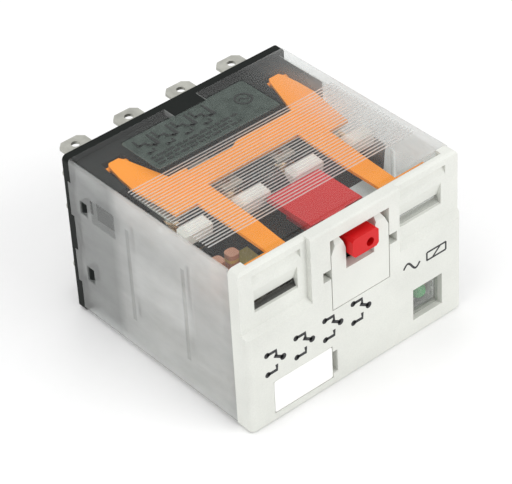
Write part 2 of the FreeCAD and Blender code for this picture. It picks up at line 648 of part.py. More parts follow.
save("nc_contacts", group([fixed_contact(x, NC_CONTACT_Y, NC_ROW, False) for x in POLES]))
save("no_contacts", group([fixed_contact(x, NO_CONTACT_Y, NO_ROW, True) for x in POLES]))
save("moving_contacts", group([released(moving_contact(x)) for x in POLES]))
save("carrier_rivets", group([released(carrier_rivet(x)) for x in RIVETS_X]))
save("spring_clamps", group([released(spring_clamp(x_range)) for x_range in CLAMPS_X]))
save("flexible_braids", group([flexible_braid(x) for x in POLES]))
save("led_resistors", group([resistor(x) for x in RESISTORS_X]))
save("coil_lead_wires", group([coil_lead_wire(side) for side in (-1, 1)]))
save("led_lead_wires", group([led_lead_wire(side) for side in (-1, 1)]))
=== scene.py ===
import math

import bmesh
import bpy
from mathutils import Matrix, Vector


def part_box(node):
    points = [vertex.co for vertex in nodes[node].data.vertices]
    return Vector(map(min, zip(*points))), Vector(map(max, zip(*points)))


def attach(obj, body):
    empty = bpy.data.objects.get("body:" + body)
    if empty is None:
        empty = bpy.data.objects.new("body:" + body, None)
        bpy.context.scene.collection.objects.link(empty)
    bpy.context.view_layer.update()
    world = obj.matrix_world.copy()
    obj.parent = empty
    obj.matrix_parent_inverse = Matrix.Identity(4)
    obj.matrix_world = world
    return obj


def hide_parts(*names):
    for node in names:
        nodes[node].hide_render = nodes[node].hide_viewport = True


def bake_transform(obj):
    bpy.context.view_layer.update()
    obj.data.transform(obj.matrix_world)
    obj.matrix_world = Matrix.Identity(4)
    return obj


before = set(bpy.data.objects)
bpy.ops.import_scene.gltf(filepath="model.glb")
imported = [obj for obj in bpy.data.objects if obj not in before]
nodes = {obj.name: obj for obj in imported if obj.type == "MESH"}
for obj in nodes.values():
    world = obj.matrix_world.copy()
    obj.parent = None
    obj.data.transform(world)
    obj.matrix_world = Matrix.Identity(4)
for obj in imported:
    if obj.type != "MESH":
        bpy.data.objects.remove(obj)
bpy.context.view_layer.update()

MM = 0.001
FACE_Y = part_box("front_cap")[0][1]        # front face of the cap
FIELD_Y = FACE_Y + 0.9 * MM               # sunk fields round the flag windows, Y = 0 in part.py
TOP_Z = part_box("clear_cover")[1][2]       # broad clear side

# Sizes and places in millimetres, Y counted from the sunk fields as in part.py
INK = 0.02                                # thickness of a printed line
LABEL_X, LABEL_Y = (-12.7, 10.4), (26.4, 35.3)          # etched patch on the broad clear side
GROOVES_X = (-19.3, 19.3)
GROOVES, GROOVE_FIRST, GROOVE_PITCH = 29, 7.6, 0.625
GROOVE_LAST = GROOVE_FIRST + (GROOVES - 1) * GROOVE_PITCH
LUG_Y, LUG_Z = (27.5, 32.9), (19.2, 23.4)               # the base's upper lug behind each side wall
RIBS_Y, RIB_HALF, RIB_Z = (12.2, 24.6), 0.4, (6.0, 22.5)
# painted highlight: a band of the side walls given extra haze so that it shows brighter
PAINTED_HIGHLIGHT_Y, PAINTED_HIGHLIGHT_Z = (10.8, 24.0), (11.0, 18.5)

SIDE_HAZE, TOP_HAZE, GROOVE_HAZE = 0.60, 0.02, 0.72     # share of light the cover scatters


def at(x, y, z):
    """A point given in millimetres, Y counted from the flag window fields as in part.py."""
    return Vector((x * MM, FIELD_Y + y * MM, z * MM))


def metres(span):
    """A stretch of X or Z given in millimetres."""
    return tuple(end * MM for end in span)


def metres_along(span):
    """A stretch of Y given in millimetres from the flag window fields."""
    return tuple(FIELD_Y + end * MM for end in span)


# ---- node helpers ---------------------------------------------------------------------
def new_material(name):
    material = bpy.data.materials.new(name)
    material.use_nodes = True
    material.node_tree.nodes.clear()
    return material


def add(material, kind, inputs=None, **settings):
    """A shader node with its settings, and its inputs either set or linked."""
    node = material.node_tree.nodes.new(kind)
    for key, value in settings.items():
        setattr(node, key, value)
    for socket, value in (inputs or {}).items():
        if isinstance(value, bpy.types.NodeSocket):
            material.node_tree.links.new(value, node.inputs[socket])
        else:
            node.inputs[socket].default_value = value
    return node


def finish_material(material, shader):
    add(material, "ShaderNodeOutputMaterial", {"Surface": shader.outputs[0]})
    return material


def object_point(material, stretch=(1, 1, 1)):
    coords = add(material, "ShaderNodeTexCoord")
    mapping = add(material, "ShaderNodeMapping", {"Vector": coords.outputs["Object"], "Scale": stretch})
    return mapping.outputs["Vector"]


def split(material, vector):
    parts = add(material, "ShaderNodeSeparateXYZ", {"Vector": vector})
    return parts.outputs["X"], parts.outputs["Y"], parts.outputs["Z"]


def noise(material, point, size, detail=2.0):
    """Noise whose features are about size metres across."""
    node = add(material, "ShaderNodeTexNoise", {"Vector": point, "Scale": 1 / size, "Detail": detail})
    return node.outputs["Fac"]


def remap(material, value, low, high, start=0.3, end=0.7):
    node = add(
        material, "ShaderNodeMapRange",
        {"Value": value, "From Min": start, "From Max": end, "To Min": low, "To Max": high},
    )
    return node.outputs["Result"]


def calculate(material, operation, first, second=0.0, clamp=False):
    node = add(material, "ShaderNodeMath", {0: first, 1: second}, operation=operation, use_clamp=clamp)
    return node.outputs[0]


def times(material, first, second):
    return calculate(material, "MULTIPLY", first, second)


def within(material, value, span, soft):
    """1 inside a span of a coordinate and 0 outside, with soft ends."""
    low, high = span
    rise = remap(material, value, 0, 1, low - soft, low + soft)
    fall = remap(material, value, 1, 0, high - soft, high + soft)
    return times(material, rise, fall)


def tint(colour, factor):
    return (*(min(1.0, c * factor) for c in colour), 1.0)


def mixed_colour(material, factor, first, second):
    node = add(material, "ShaderNodeMix", data_type="RGBA")
    material.node_tree.links.new(factor, node.inputs["Factor"])
    colours = [socket for socket in node.inputs if socket.type == "RGBA"]
    for socket, value in zip(colours, (first, second)):
        socket.default_value = value
    return next(socket for socket in node.outputs if socket.type == "RGBA")


def mixed_shader(material, factor, first, second):
    return add(material, "ShaderNodeMixShader", {0: factor, 1: first.outputs[0], 2: second.outputs[0]})


def bump(material, height, distance):
    node = add(material, "ShaderNodeBump", {"Height": height, "Distance": distance, "Strength": 1.0})
    return node.outputs["Normal"]


# ---- materials ------------------------------------------------------------------------
def moulded_plastic(name, colour, roughness, grain=0.16 * MM, depth=0.006 * MM, variation=0.05,
                    subsurface=0.0, coat=0.0, specular=0.5):
    """Moulded thermoplastic: spark-eroded grain, faint flow clouds and a slightly uneven gloss."""
    material = new_material(name)
    point = object_point(material)
    clouds = noise(material, point, 9 * MM, 3)
    fine = noise(material, point, grain, 3)
    mottle = calculate(material, "ADD", remap(material, clouds, 0, 0.6), remap(material, fine, 0, 0.4))
    dark, light = tint(colour, 1 - variation), tint(colour, 1 + variation)
    shader = add(material, "ShaderNodeBsdfPrincipled", {
        "Base Color": mixed_colour(material, mottle, dark, light),
        "Roughness": remap(material, fine, roughness - 0.06, roughness + 0.08),
        "Normal": bump(material, fine, depth),
        "IOR": 1.52,
        "Specular IOR Level": specular,
        "Subsurface Weight": subsurface,
        "Subsurface Radius": (0.6 * MM, 0.4 * MM, 0.3 * MM),
        "Coat Weight": coat,
        "Coat Roughness": 0.12,
    })
    return finish_material(material, shader)


def drawn_metal(name, colour, roughness, stretch=(1, 1, 1), tarnish=0.12, metallic=1.0):
    """Rolled or drawn metal: scratches along one direction and faint tarnish."""
    material = new_material(name)
    lines = noise(material, object_point(material, stretch), 0.12 * MM, 4)
    patches = noise(material, object_point(material), 2.2 * MM, 4)
    spots = remap(material, patches, 0, 1)
    shader = add(material, "ShaderNodeBsdfPrincipled", {
        "Base Color": mixed_colour(material, spots, tint(colour, 1 - tarnish), tint(colour, 1.0)),
        "Metallic": metallic,
        "Roughness": remap(material, lines, roughness - 0.08, roughness + 0.12),
        "Normal": bump(material, lines, 0.002 * MM),
    })
    return finish_material(material, shader)


def groove_haze(material, across, along, upper):
    """Haze of the fine grooves across the broad side, over the flag."""
    from_first = calculate(material, "SUBTRACT", along, FIELD_Y + GROOVE_FIRST * MM)
    nearest = calculate(material, "PINGPONG", from_first, GROOVE_PITCH / 2 * MM)
    haze = remap(material, nearest, GROOVE_HAZE, 0, 0.09 * MM, 0.17 * MM)
    grooved = metres_along((GROOVE_FIRST - 0.3, GROOVE_LAST + 0.3))
    haze = times(material, haze, within(material, along, grooved, 0.05 * MM))
    haze = times(material, haze, within(material, across, metres(GROOVES_X), 0.05 * MM))
    return times(material, haze, upper)


def wall_haze(material, side, flow, along, height):
    """Haze of the side walls: foggy in front of the base, clearer over its lugs and along the ribs, with a
    painted highlight where extra haze makes a brighter band.
    """
    etched = remap(material, side, TOP_HAZE, SIDE_HAZE, 0, 1)
    haze = times(material, etched, remap(material, flow, 0.85, 1.15))
    haze = times(material, haze, remap(material, along, 1.0, 0.62, *metres_along((26.5, 28.5))))
    # each patch: stretch and softness along Y, the same along Z, and what it multiplies the haze by
    # the first patch is a painted highlight: extra haze that makes a brighter band
    patches = [(PAINTED_HIGHLIGHT_Y, 0.8, PAINTED_HIGHLIGHT_Z, 1.4, 1.45), (LUG_Y, 0.15, LUG_Z, 0.15, 0.4)]
    patches += [((y - RIB_HALF, y + RIB_HALF), 0.1, RIB_Z, 0.1, 0.6) for y in RIBS_Y]
    for stretch_y, soft_y, stretch_z, soft_z, factor in patches:
        patch = times(
            material,
            within(material, along, metres_along(stretch_y), soft_y * MM),
            within(material, height, metres(stretch_z), soft_z * MM),
        )
        haze = times(material, haze, remap(material, times(material, patch, side), 1.0, factor, 0, 1))
    return haze


def painted_edge_glare(material, flow, across, along, upper):
    """Painted glare: haze that grows across the broad side towards its edge at +X, weaker over the base,
    standing in for light reflected there.
    """
    cloud = times(material, remap(material, across, 0, 0.50, *metres((10.5, 18.5))), upper)
    cloud = times(material, cloud, remap(material, along, 1.0, 0.35, *metres_along((20, 34))))
    return times(material, cloud, remap(material, flow, 0.8, 1.2))


def outer_mirror(material, backfacing, across, along, upper):
    """Reflection at the outer surface only, weakest over the etched label."""
    fresnel = add(material, "ShaderNodeFresnel", {"IOR": 1.33}).outputs[0]
    mirror = times(material, fresnel, calculate(material, "SUBTRACT", 1.0, backfacing))
    label = times(material, upper, times(
        material,
        within(material, across, metres(LABEL_X), 0.1 * MM),
        within(material, along, metres_along(LABEL_Y), 0.1 * MM),
    ))
    return times(material, mirror, remap(material, label, 0.8, 0.25, 0, 1))


def clear_cover_plastic():
    """Clear polycarbonate: polished over the flag, etched on the side walls, with a painted highlight band on
    the side walls, painted glare towards the +X edge of the broad side and a painted contact shadow along its
    lower edge.
    """
    material = new_material("clear_cover_plastic")
    geometry = add(material, "ShaderNodeNewGeometry")
    sideways = calculate(material, "ABSOLUTE", split(material, geometry.outputs["Normal"])[0])
    side = remap(material, sideways, 0, 1, 0.3, 0.8)
    point = object_point(material)
    across, along, height = split(material, point)
    upper = remap(material, height, 0, 1, TOP_Z - 0.3 * MM, TOP_Z - 0.2 * MM)
    flow = noise(material, object_point(material, (1, 0.4, 1)), 3.5 * MM, 4)

    amount = wall_haze(material, side, flow, along, height)
    amount = calculate(material, "ADD", amount, groove_haze(material, across, along, upper), clamp=True)
    # painted glare: extra haze that brightens the broad side towards its +X edge
    amount = calculate(material, "ADD", amount, painted_edge_glare(material, flow, across, along, upper), clamp=True)

    matt = add(material, "ShaderNodeBsdfPrincipled", {
        "Base Color": (0.79, 0.80, 0.79, 1), "Roughness": 0.6, "IOR": 1.15,
        "Normal": bump(material, noise(material, point, 0.1 * MM, 2), 0.004 * MM),
    })
    lit_through = add(material, "ShaderNodeBsdfTranslucent", {"Color": (0.89, 0.90, 0.89, 1)})
    haze = mixed_shader(material, 0.5, matt, lit_through)
    clear = add(material, "ShaderNodeBsdfTransparent", {"Color": (0.97, 0.98, 0.975, 1)})
    body = mixed_shader(material, amount, clear, haze)

    gloss = add(material, "ShaderNodeBsdfGlossy", {"Color": (1, 1, 1, 1), "Roughness": 0.2})
    mirror = outer_mirror(material, geometry.outputs["Backfacing"], across, along, upper)
    surface = mixed_shader(material, mirror, body, gloss)

    # painted contact shadow: a near-black layer mixed in along the lower edge of the side walls, in place of
    # the shadow under the cover
    shade = add(material, "ShaderNodeBsdfPrincipled", {
        "Base Color": mixed_colour(material, flow, (0.03, 0.03, 0.03, 1), (0.08, 0.08, 0.08, 1)),
        "Roughness": 0.6,
    })
    contact_shadow_edge = times(material, side, remap(material, height, 0.7, 0, 0.8 * MM, 0.95 * MM))
    return finish_material(material, mixed_shader(material, contact_shadow_edge, surface, shade))


def tinted_clear(name, colour, haze_amount, roughness, clearness=0.5):
    """Small clear or tinted part: a transparent body, partly clouded by a glossy haze of its own colour."""
    material = new_material(name)
    flow = noise(material, object_point(material), 0.8 * MM, 3)
    haze = add(material, "ShaderNodeBsdfPrincipled", {
        "Base Color": (*colour, 1), "Roughness": roughness, "IOR": 1.5,
        "Normal": bump(material, flow, 0.01 * MM),
    })
    clear = add(material, "ShaderNodeBsdfTransparent", {
        "Color": (*[clearness + (1 - clearness) * c for c in colour], 1),
    })
    amount = remap(material, flow, haze_amount * 0.85, haze_amount * 1.15)
    return finish_material(material, mixed_shader(material, amount, clear, haze))


def copper_wire():
    """Bare copper strands, browner in places."""
    material = new_material("copper_strand")
    colour = (0.80, 0.38, 0.20)
    worn = noise(material, object_point(material), 0.25 * MM, 3)
    spots = remap(material, worn, 0, 1)
    shader = add(material, "ShaderNodeBsdfPrincipled", {
        "Base Color": mixed_colour(material, spots, tint(colour, 0.75), tint(colour, 1.1)),
        "Metallic": 0.9,
        "Roughness": remap(material, worn, 0.25, 0.5),
        "Normal": bump(material, worn, 0.01 * MM),
    })
    return finish_material(material, shader)


def winding_copper():
    """Enamelled wire laid in turns along Y, with painted shade in the valleys between turns."""
    material = new_material("winding_copper")
    turn_bands = 1999.0                                 # texture scale that spaces the bands 0.157 mm apart
    turns = add(material, "ShaderNodeTexWave", {
        "Vector": object_point(material), "Scale": turn_bands, "Distortion": 0.4, "Detail": 1.0,
    }, bands_direction="Y")
    height = turns.outputs["Fac"]
    # painted shade: the colour runs dark in the valleys between turns and light on their crests
    shader = add(material, "ShaderNodeBsdfPrincipled", {
        "Base Color": mixed_colour(material, height, (0.22, 0.07, 0.03, 1), (0.62, 0.27, 0.12, 1)),
        "Metallic": 0.7,
        "Roughness": remap(material, height, 0.35, 0.25, 0, 1),
        "Normal": bump(material, height, 0.08 * MM),
    })
    return finish_material(material, shader)


def laminate_board():
    """Phenolic paper board with a thin solder mask."""
    material = new_material("laminate_board")
    fibres = noise(material, object_point(material, (1, 1, 0.3)), 0.3 * MM, 5)
    base = mixed_colour(material, remap(material, fibres, 0, 1), (0.20, 0.12, 0.05, 1), (0.34, 0.22, 0.10, 1))
    shader = add(material, "ShaderNodeBsdfPrincipled", {
        "Base Color": base,
        "Roughness": remap(material, fibres, 0.4, 0.6),
        "Normal": bump(material, fibres, 0.01 * MM),
    })
    return finish_material(material, shader)


def banded_resistor():
    """Lacquered resistor body: colour bands across its length, bare metal at its foot."""
    material = new_material("banded_resistor")
    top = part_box("led_resistors")[1][2]
    length = 6.0 * MM
    height = split(material, object_point(material))[2]
    ramp = add(material, "ShaderNodeValToRGB", {"Fac": remap(material, height, 0, 1, top - length, top)})
    ramp.color_ramp.interpolation = "CONSTANT"
    body = (0.46, 0.22, 0.14, 1)
    bands = ((0.18, (0.25, 0.08, 0.03, 1)), (0.28, body), (0.36, (0.02, 0.02, 0.02, 1)), (0.46, body),
             (0.54, (0.75, 0.22, 0.02, 1)), (0.64, body), (0.78, (0.60, 0.45, 0.12, 1)), (0.87, body))
    ramp.color_ramp.elements[0].color = (0.6, 0.6, 0.58, 1)
    ramp.color_ramp.elements[1].position = 0.02
    ramp.color_ramp.elements[1].color = body
    for position, colour in bands:
        ramp.color_ramp.elements.new(position).color = colour
    speckle = noise(material, object_point(material), 0.2 * MM, 3)
    shader = add(material, "ShaderNodeBsdfPrincipled", {
        "Base Color": ramp.outputs["Color"],
        "Roughness": remap(material, speckle, 0.25, 0.4),
        "Normal": bump(material, speckle, 0.01 * MM),
    })
    return finish_material(material, shader)


def printed_ink(name, colour):
    """Pad-printed ink: slightly uneven density."""
    material = new_material(name)
    density = noise(material, object_point(material), 0.25 * MM, 4)
    uneven = remap(material, density, 0, 1)
    shader = add(material, "ShaderNodeBsdfPrincipled", {
        "Base Color": mixed_colour(material, uneven, tint(colour, 0.7), tint(colour, 1.6)),
        "Roughness": 0.55,
        "Normal": bump(material, density, 0.004 * MM),
    })
    return finish_material(material, shader)


def frosted_label():
    """Etched patch on the clear cover: pale and translucent, with soft mottling."""
    material = new_material("frosted_label")
    point = object_point(material)
    haze = add(material, "ShaderNodeBsdfPrincipled", {
        "Base Color": (0.20, 0.235, 0.215, 1), "Roughness": 0.7, "IOR": 1.2,
        "Normal": bump(material, noise(material, point, 0.8 * MM, 2), 0.008 * MM),
    })
    clear = add(material, "ShaderNodeBsdfTransparent", {"Color": (0.80, 0.84, 0.82, 1)})
    amount = remap(material, noise(material, point, 1.2 * MM, 5), 0.20, 0.34)
    return finish_material(material, mixed_shader(material, amount, clear, haze))


GREY = (0.69, 0.70, 0.655)
DOOR_GREY = tuple(c * 1.02 for c in GREY)
materials = {
    "black": moulded_plastic("black_moulding", (0.008, 0.010, 0.009), 0.55, variation=0.2, specular=0.1),
    "grey": moulded_plastic("grey_moulding", GREY, 0.48, grain=0.22 * MM, depth=0.02 * MM, variation=0.08),
    "door": moulded_plastic("door_moulding", DOOR_GREY, 0.42, depth=0.008 * MM, variation=0.06),
    "tag": moulded_plastic("tag_moulding", (0.93, 0.93, 0.91), 0.35, depth=0.003 * MM, variation=0.01),
    "orange": moulded_plastic("orange_moulding", (1.0, 0.31, 0.004), 0.5, depth=0.004 * MM, specular=0.2),
    "red": moulded_plastic("red_moulding", (0.60, 0.004, 0.006), 0.40, depth=0.003 * MM, specular=0.25),
    "ivory": moulded_plastic("ivory_moulding", (0.82, 0.80, 0.75), 0.5, subsurface=0.1),
    "bobbin": moulded_plastic("bobbin_moulding", (0.76, 0.73, 0.64), 0.45, subsurface=0.1),
    "tape": moulded_plastic(
        "polyester_tape", (0.62, 0.48, 0.10), 0.25, grain=0.6 * MM, depth=0.02 * MM, coat=0.5,
    ),
    "sleeve": moulded_plastic("wire_sleeve", (0.70, 0.69, 0.65), 0.4, grain=0.4 * MM),
    "clear": clear_cover_plastic(),
    "lens": tinted_clear("lens_plastic", (0.86, 0.87, 0.85), 0.12, 0.12),
    "lamp": tinted_clear("lamp_epoxy", (0.01, 0.40, 0.08), 0.85, 0.2, 0.2),
    "steel": drawn_metal("plated_steel", (0.66, 0.65, 0.60), 0.32, (1, 0.08, 1)),
    "blade": drawn_metal("tinned_blade", (0.52, 0.52, 0.47), 0.42, (1, 0.05, 1), tarnish=0.3, metallic=0.6),
    "bronze": drawn_metal("bronze_leaf", (0.72, 0.52, 0.34), 0.28, (1, 0.05, 1)),
    "silver": drawn_metal("silver_contact", (0.88, 0.87, 0.84), 0.22, tarnish=0.1),
    "spring": drawn_metal("spring_wire", (0.62, 0.62, 0.62), 0.28),
    "copper": copper_wire(),
    "winding": winding_copper(),
    "board": laminate_board(),
    "resistor": banded_resistor(),
    "ink": printed_ink("black_ink", (0.018, 0.018, 0.020)),
    "label_ink": printed_ink("label_ink", (0.010, 0.012, 0.011)),
    "label": frosted_label(),
    # painted shade: a near-black sheet for the left flag window, which is only in shade
    "pane": tinted_clear("painted_shade_pane", (0.015, 0.013, 0.012), 0.12, 0.4, 0.70),
}

NODE_MATERIALS = {
    "base": "black", "clear_cover": "clear", "front_cap": "grey", "id_tag": "tag",
    "led_lens": "lens", "status_led": "lamp", "led_circuit_board": "board",
    "led_resistors": "resistor", "led_lead_wires": "sleeve",
    "yoke": "steel", "coil_core": "steel", "shading_ring": "copper", "coil_bobbin": "bobbin",
    "coil_winding": "winding", "coil_tape": "tape", "coil_lead_wires": "copper",
    "armature_plate": "steel", "return_spring": "spring",
    "contact_carrier": "black", "spring_clamps": "ivory", "carrier_rivets": "spring",
    "contact_comb": "black", "nc_contacts": "silver", "no_contacts": "silver",
    "moving_contacts": "silver", "flexible_braids": "copper",
    "flag_indicator": "orange", "test_button": "red", "lock_door": "door",
}


def material_for(name):
    if "terminal" in name:
        return materials["blade"]
    if name.startswith("moving_spring"):
        return materials["bronze"]
    return materials[NODE_MATERIALS[name]]


for name, piece in nodes.items():
    piece.data.materials.clear()
    piece.data.materials.append(material_for(name))


# ---- mesh helpers ---------------------------------------------------------------------
def piece_from(name, vertices, faces, material, body, slot, smooth=False):
    """A new piece of one material, riding with a body unless that is None."""
    mesh = bpy.data.meshes.new(name)
    mesh.from_pydata([tuple(v) for v in vertices], [], faces)
    mesh.validate()
    made = bmesh.new()
    made.from_mesh(mesh)
    bmesh.ops.recalc_face_normals(made, faces=made.faces)
    made.to_mesh(mesh)
    made.free()
    for polygon in mesh.polygons:
        polygon.use_smooth = smooth
    mesh.materials.append(material)
    piece = bpy.data.objects.new(name, mesh)
    bpy.context.collection.objects.link(piece)
    if body:
        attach(piece, body)
    return piece


def tube_along(points, radius, sides=6):
    """Vertices and faces of a thin round tube through points, closed at its ends."""
    vertices, faces = [], []
    normal = None
    for i, point in enumerate(points):
        ahead = (points[min(i + 1, len(points) - 1)] - points[max(i - 1, 0)]).normalized()
        if normal is None:
            normal = ahead.orthogonal().normalized()
        normal = (normal - ahead * normal.dot(ahead)).normalized()
        side = ahead.cross(normal)
        for k in range(sides):
            turn = 2 * math.pi * k / sides
            vertices.append(point + (normal * math.cos(turn) + side * math.sin(turn)) * radius)
    for i in range(len(points) - 1):
        for k in range(sides):
            a, b = i * sides + k, i * sides + (k + 1) % sides
            faces.append((a, b, b + sides, a + sides))
    faces.append(tuple(range(sides)))
    last = (len(points) - 1) * sides
    faces.append(tuple(last + k for k in range(sides)))
    return vertices, faces


def gather(parts):
    """Several (vertices, faces) pairs as one."""
    vertices, faces = [], []
    for part_vertices, part_faces in parts:
        start = len(vertices)
        vertices += part_vertices
        faces += [tuple(start + i for i in face) for face in part_faces]
    return vertices, faces


def smooth_path(points, count):
    """Points spread along a Catmull-Rom curve through the given ones."""
    spans = len(points) - 1
    ends = [points[0] * 2 - points[1]] + list(points) + [points[-1] * 2 - points[-2]]
    result = []
    for i in range(count):
        t = i / (count - 1) * spans
        k = min(int(t), spans - 1)
        t -= k
        a, b, c, d = ends[k:k + 4]
        square, cube = 2 * a - 5 * b + 4 * c - d, 3 * b - a - 3 * c + d
        result.append(0.5 * (2 * b + (c - a) * t + square * t * t + cube * t ** 3))
    return result


# ---- printed marks --------------------------------------------------------------------
def prism_faces(count):
    """Faces of a prism whose vertices are a ring of count points and the same ring again further on."""
    faces = [tuple(range(count)), tuple(range(count, 2 * count))]
    faces += [(k, (k + 1) % count, count + (k + 1) % count, count + k) for k in range(count)]
    return faces


def stroke(points, width):
    """Flat printed line through 2-D points, in millimetres: vertices and faces with mitred bends."""
    left, right = [], []
    last = len(points) - 1
    for i, (x, y) in enumerate(points):
        before = Vector(points[max(i - 1, 0)])
        after = Vector(points[min(i + 1, last)])
        along = (after - before).normalized()
        bend = abs(along.dot((Vector((x, y)) - before).normalized())) if 0 < i < last else 1.0
        across = Vector((-along.y, along.x)) * width / 2 / max(bend, 0.5)
        left.append((x + across.x, y + across.y))
        right.append((x - across.x, y - across.y))
    count = len(points)
    top = 2 * count
    vertices = [(*p, 0.0) for p in left + right] + [(*p, INK) for p in left + right]
    faces = []
    for a in range(last):
        b, c, d = a + 1, count + a + 1, count + a
        faces += [(a, b, c, d), (top + d, top + c, top + b, top + a)]
        faces += [(a, top + a, top + b, b), (d, c, top + c, top + d)]
    faces += [(0, count, top + count, top), (last, top + last, top + count + last, count + last)]
    return vertices, faces


def circle_points(x, y, radius, sides):
    """Points round a circle, the last one back at the start."""
    turns = [2 * math.pi * k / sides for k in range(sides + 1)]
    return [(x + radius * math.cos(turn), y + radius * math.sin(turn)) for turn in turns]


def dot(x, y, radius):
    ring = circle_points(x, y, radius, 20)[:-1]
    vertices = [(*p, 0.0) for p in ring] + [(*p, INK) for p in ring]
    return vertices, prism_faces(len(ring))


def rounded_outline(across, upward, corner):
    """2-D outline of a rectangle with round corners."""
    steps = 4
    outline = []
    for a, b, start in ((1, 1, 0), (0, 1, 90), (0, 0, 180), (1, 0, 270)):
        centre_a = across[a] + (-corner if a else corner)
        centre_b = upward[b] + (-corner if b else corner)
        for step in range(steps + 1):
            turn = math.radians(start + 90 / steps * step)
            outline.append((centre_a + corner * math.cos(turn), centre_b + corner * math.sin(turn)))
    return outline


def changeover_symbol(x, y, size, line):
    """Schematic changeover contact: two fixed contacts, a moving arm and its pivot."""
    reach = size * 0.42
    step = x + reach * 0.15                             # where a fixed contact's line turns inwards
    pivot = (x + reach, y - size * 0.02)
    parts = []
    for side in (1, -1):
        end = y + side * size / 2
        parts.append(stroke([(x - reach, end), (step, end), (step, y + side * size * 0.22)], line))
    parts.append(stroke([pivot, (x - reach * 0.1, y + size * 0.26)], line))
    parts.append(dot(*pivot, line * 1.1))
    for side in (1, -1):
        parts.append(dot(x - reach, y + side * size / 2, line * 0.95))
    return parts


def print_on_front(name, parts):
    """Millimetre drawing in X and Z laid on the cap's front face."""
    vertices, faces = gather(parts)
    placed = [Vector((x * MM, FACE_Y - d * MM, z * MM)) for x, z, d in vertices]
    piece_from(name, placed, faces, materials["ink"], "case", "black_plastic")


def print_on_top(name, parts, material, depth):
    """Millimetre drawing in X and Y moulded into the broad clear side, a depth below its surface."""
    vertices, faces = gather(parts)
    placed = [Vector((x * MM, FIELD_Y + y * MM, TOP_Z + (d - depth) * MM)) for x, y, d in vertices]
    piece_from(name, placed, faces, materials[material], "case", "black_plastic")


def contact_diagram():
    """Four changeover contacts in a row on the front."""
    first_x, pitch, z, size, line = -15.6, 5.4, 10.9, 3.5, 0.5
    contacts = []
    for k in range(4):
        contacts += changeover_symbol(first_x + pitch * k, z, size, line)
    print_on_front("contact_diagram", contacts)


def coil_mark():
    """A sine wave and a coil box on the front."""
    first_x, middle_z, step, swing, steps = 9.0, 13.2, 0.2, 0.75, 16
    wave = []
    for i in range(steps + 1):
        wave.append((first_x + step * i, middle_z + swing * math.sin(2 * math.pi * i / steps)))
    (x0, x1), (z0, z1) = (13.6, 17.4), (12.5, 13.9)
    box = [(x0, z0), (x1, z0), (x1, z1), (x0, z1), (x0, z0)]
    marks = [stroke(wave, 0.34)]
    marks += [stroke([start, end], 0.3) for start, end in zip(box, box[1:])]
    marks.append(stroke([(14.8, 12.6), (16.2, 13.8)], 0.3))
    print_on_front("coil_mark", marks)


def label_patch():
    """Etched rectangle with round corners, moulded into the cover."""
    thickness = 0.06
    outline = rounded_outline(LABEL_X, LABEL_Y, 0.5)
    vertices = [(*p, 0.0) for p in outline] + [(*p, thickness) for p in outline]
    print_on_top("label_patch", [(vertices, prism_faces(len(outline)))], "label", depth=0.22)


def label_diagram():
    """Four small contacts with their leads, and a wave in a ring."""
    lines = []
    for k in range(4):
        x = 3.5 * k
        lines += changeover_symbol(-10.2 + x, 31.6, 2.4, 0.34)
        lines.append(stroke([(-11.2 + x, 33.2), (-11.2 + x, 34.4)], 0.3))
        lines.append(stroke([(-9.2 + x, 31.5), (-8.6 + x, 31.5), (-8.6 + x, 34.4)], 0.3))
    lines.append(stroke(circle_points(7.4, 31.4, 1.3, 28), 0.34))
    lines.append(stroke([(6.5, 31.4), (6.95, 31.9), (7.4, 31.4), (7.85, 30.9), (8.3, 31.4)], 0.2))
    return lines


def label_dashes():
    """Three rows of dashes of uneven length, in place of lettering."""
    start, first_y, row_pitch, gap, line = -11.8, 29.2, 0.85, 0.38, 0.42
    dashes = []
    for row, end in enumerate((4.2, 2.6, 3.6)):
        y = first_y - row_pitch * row
        x, step = start, 0
        while x < end:
            length = 0.7 + 0.55 * ((step * 7 + row * 3) % 4) / 2
            dashes.append(stroke([(x, y), (min(x + length, end), y)], line))
            x += length + gap
            step += 1
    return dashes


# ---- flag windows -----------------------------------------------------------------------
def pane_along(x0, x1):
    """Vertices and faces of a window pane: its section in Y and Z leans forward over the scoop's lip."""
    section = [(0.36, 20.52), (0.62, 21.16), (0.88, 21.66), (1.40, 21.66), (1.40, 20.64), (0.82, 20.63)]
    centre_y, centre_z = 1.0, 21.1
    bevel, end_size = 0.08, 0.97
    count = len(section)
    vertices = []
    for x, size in ((x0, end_size), (x0 + bevel, 1.0), (x1 - bevel, 1.0), (x1, end_size)):
        for y, z in section:
            vertices.append(at(x, centre_y + (y - centre_y) * size, centre_z + (z - centre_z) * size))
    faces = [tuple(range(count)), tuple(range(3 * count, 4 * count))]
    for k in range(3):
        for i in range(count):
            a, b = k * count + i, k * count + (i + 1) % count
            faces.append((a, b, b + count, a + count))
    return vertices, faces


def flag_window_pieces():
    """Panes in the two flag windows, the left one a near-black sheet that paints the shade seen in that
    window, and the black bands printed low on the flag's plates.
    """
    # the left pane is painted shade, the right one a clear lens
    panes = (
        ("left", (-17.94, -10.16), "pane", "black_plastic"),
        ("right", (9.26, 17.24), "lens", "clear_lens"),
    )
    for name, ends, material, slot in panes:
        piece_from("flag_window_pane_" + name, *pane_along(*ends), materials[material], "case", slot)
    band_y, band_z, corner = (3.325, 3.348), (20.25, 22.15), 0.45
    for side, name in ((-1, "left"), (1, "right")):
        outline = rounded_outline(sorted((side * 8.9, side * 17.95)), band_z, corner)
        vertices = [at(x, y, z) for y in band_y for x, z in outline]
        faces = prism_faces(len(outline))
        piece_from("flag_band_" + name, vertices, faces, materials["ink"], "flag", "black_plastic")


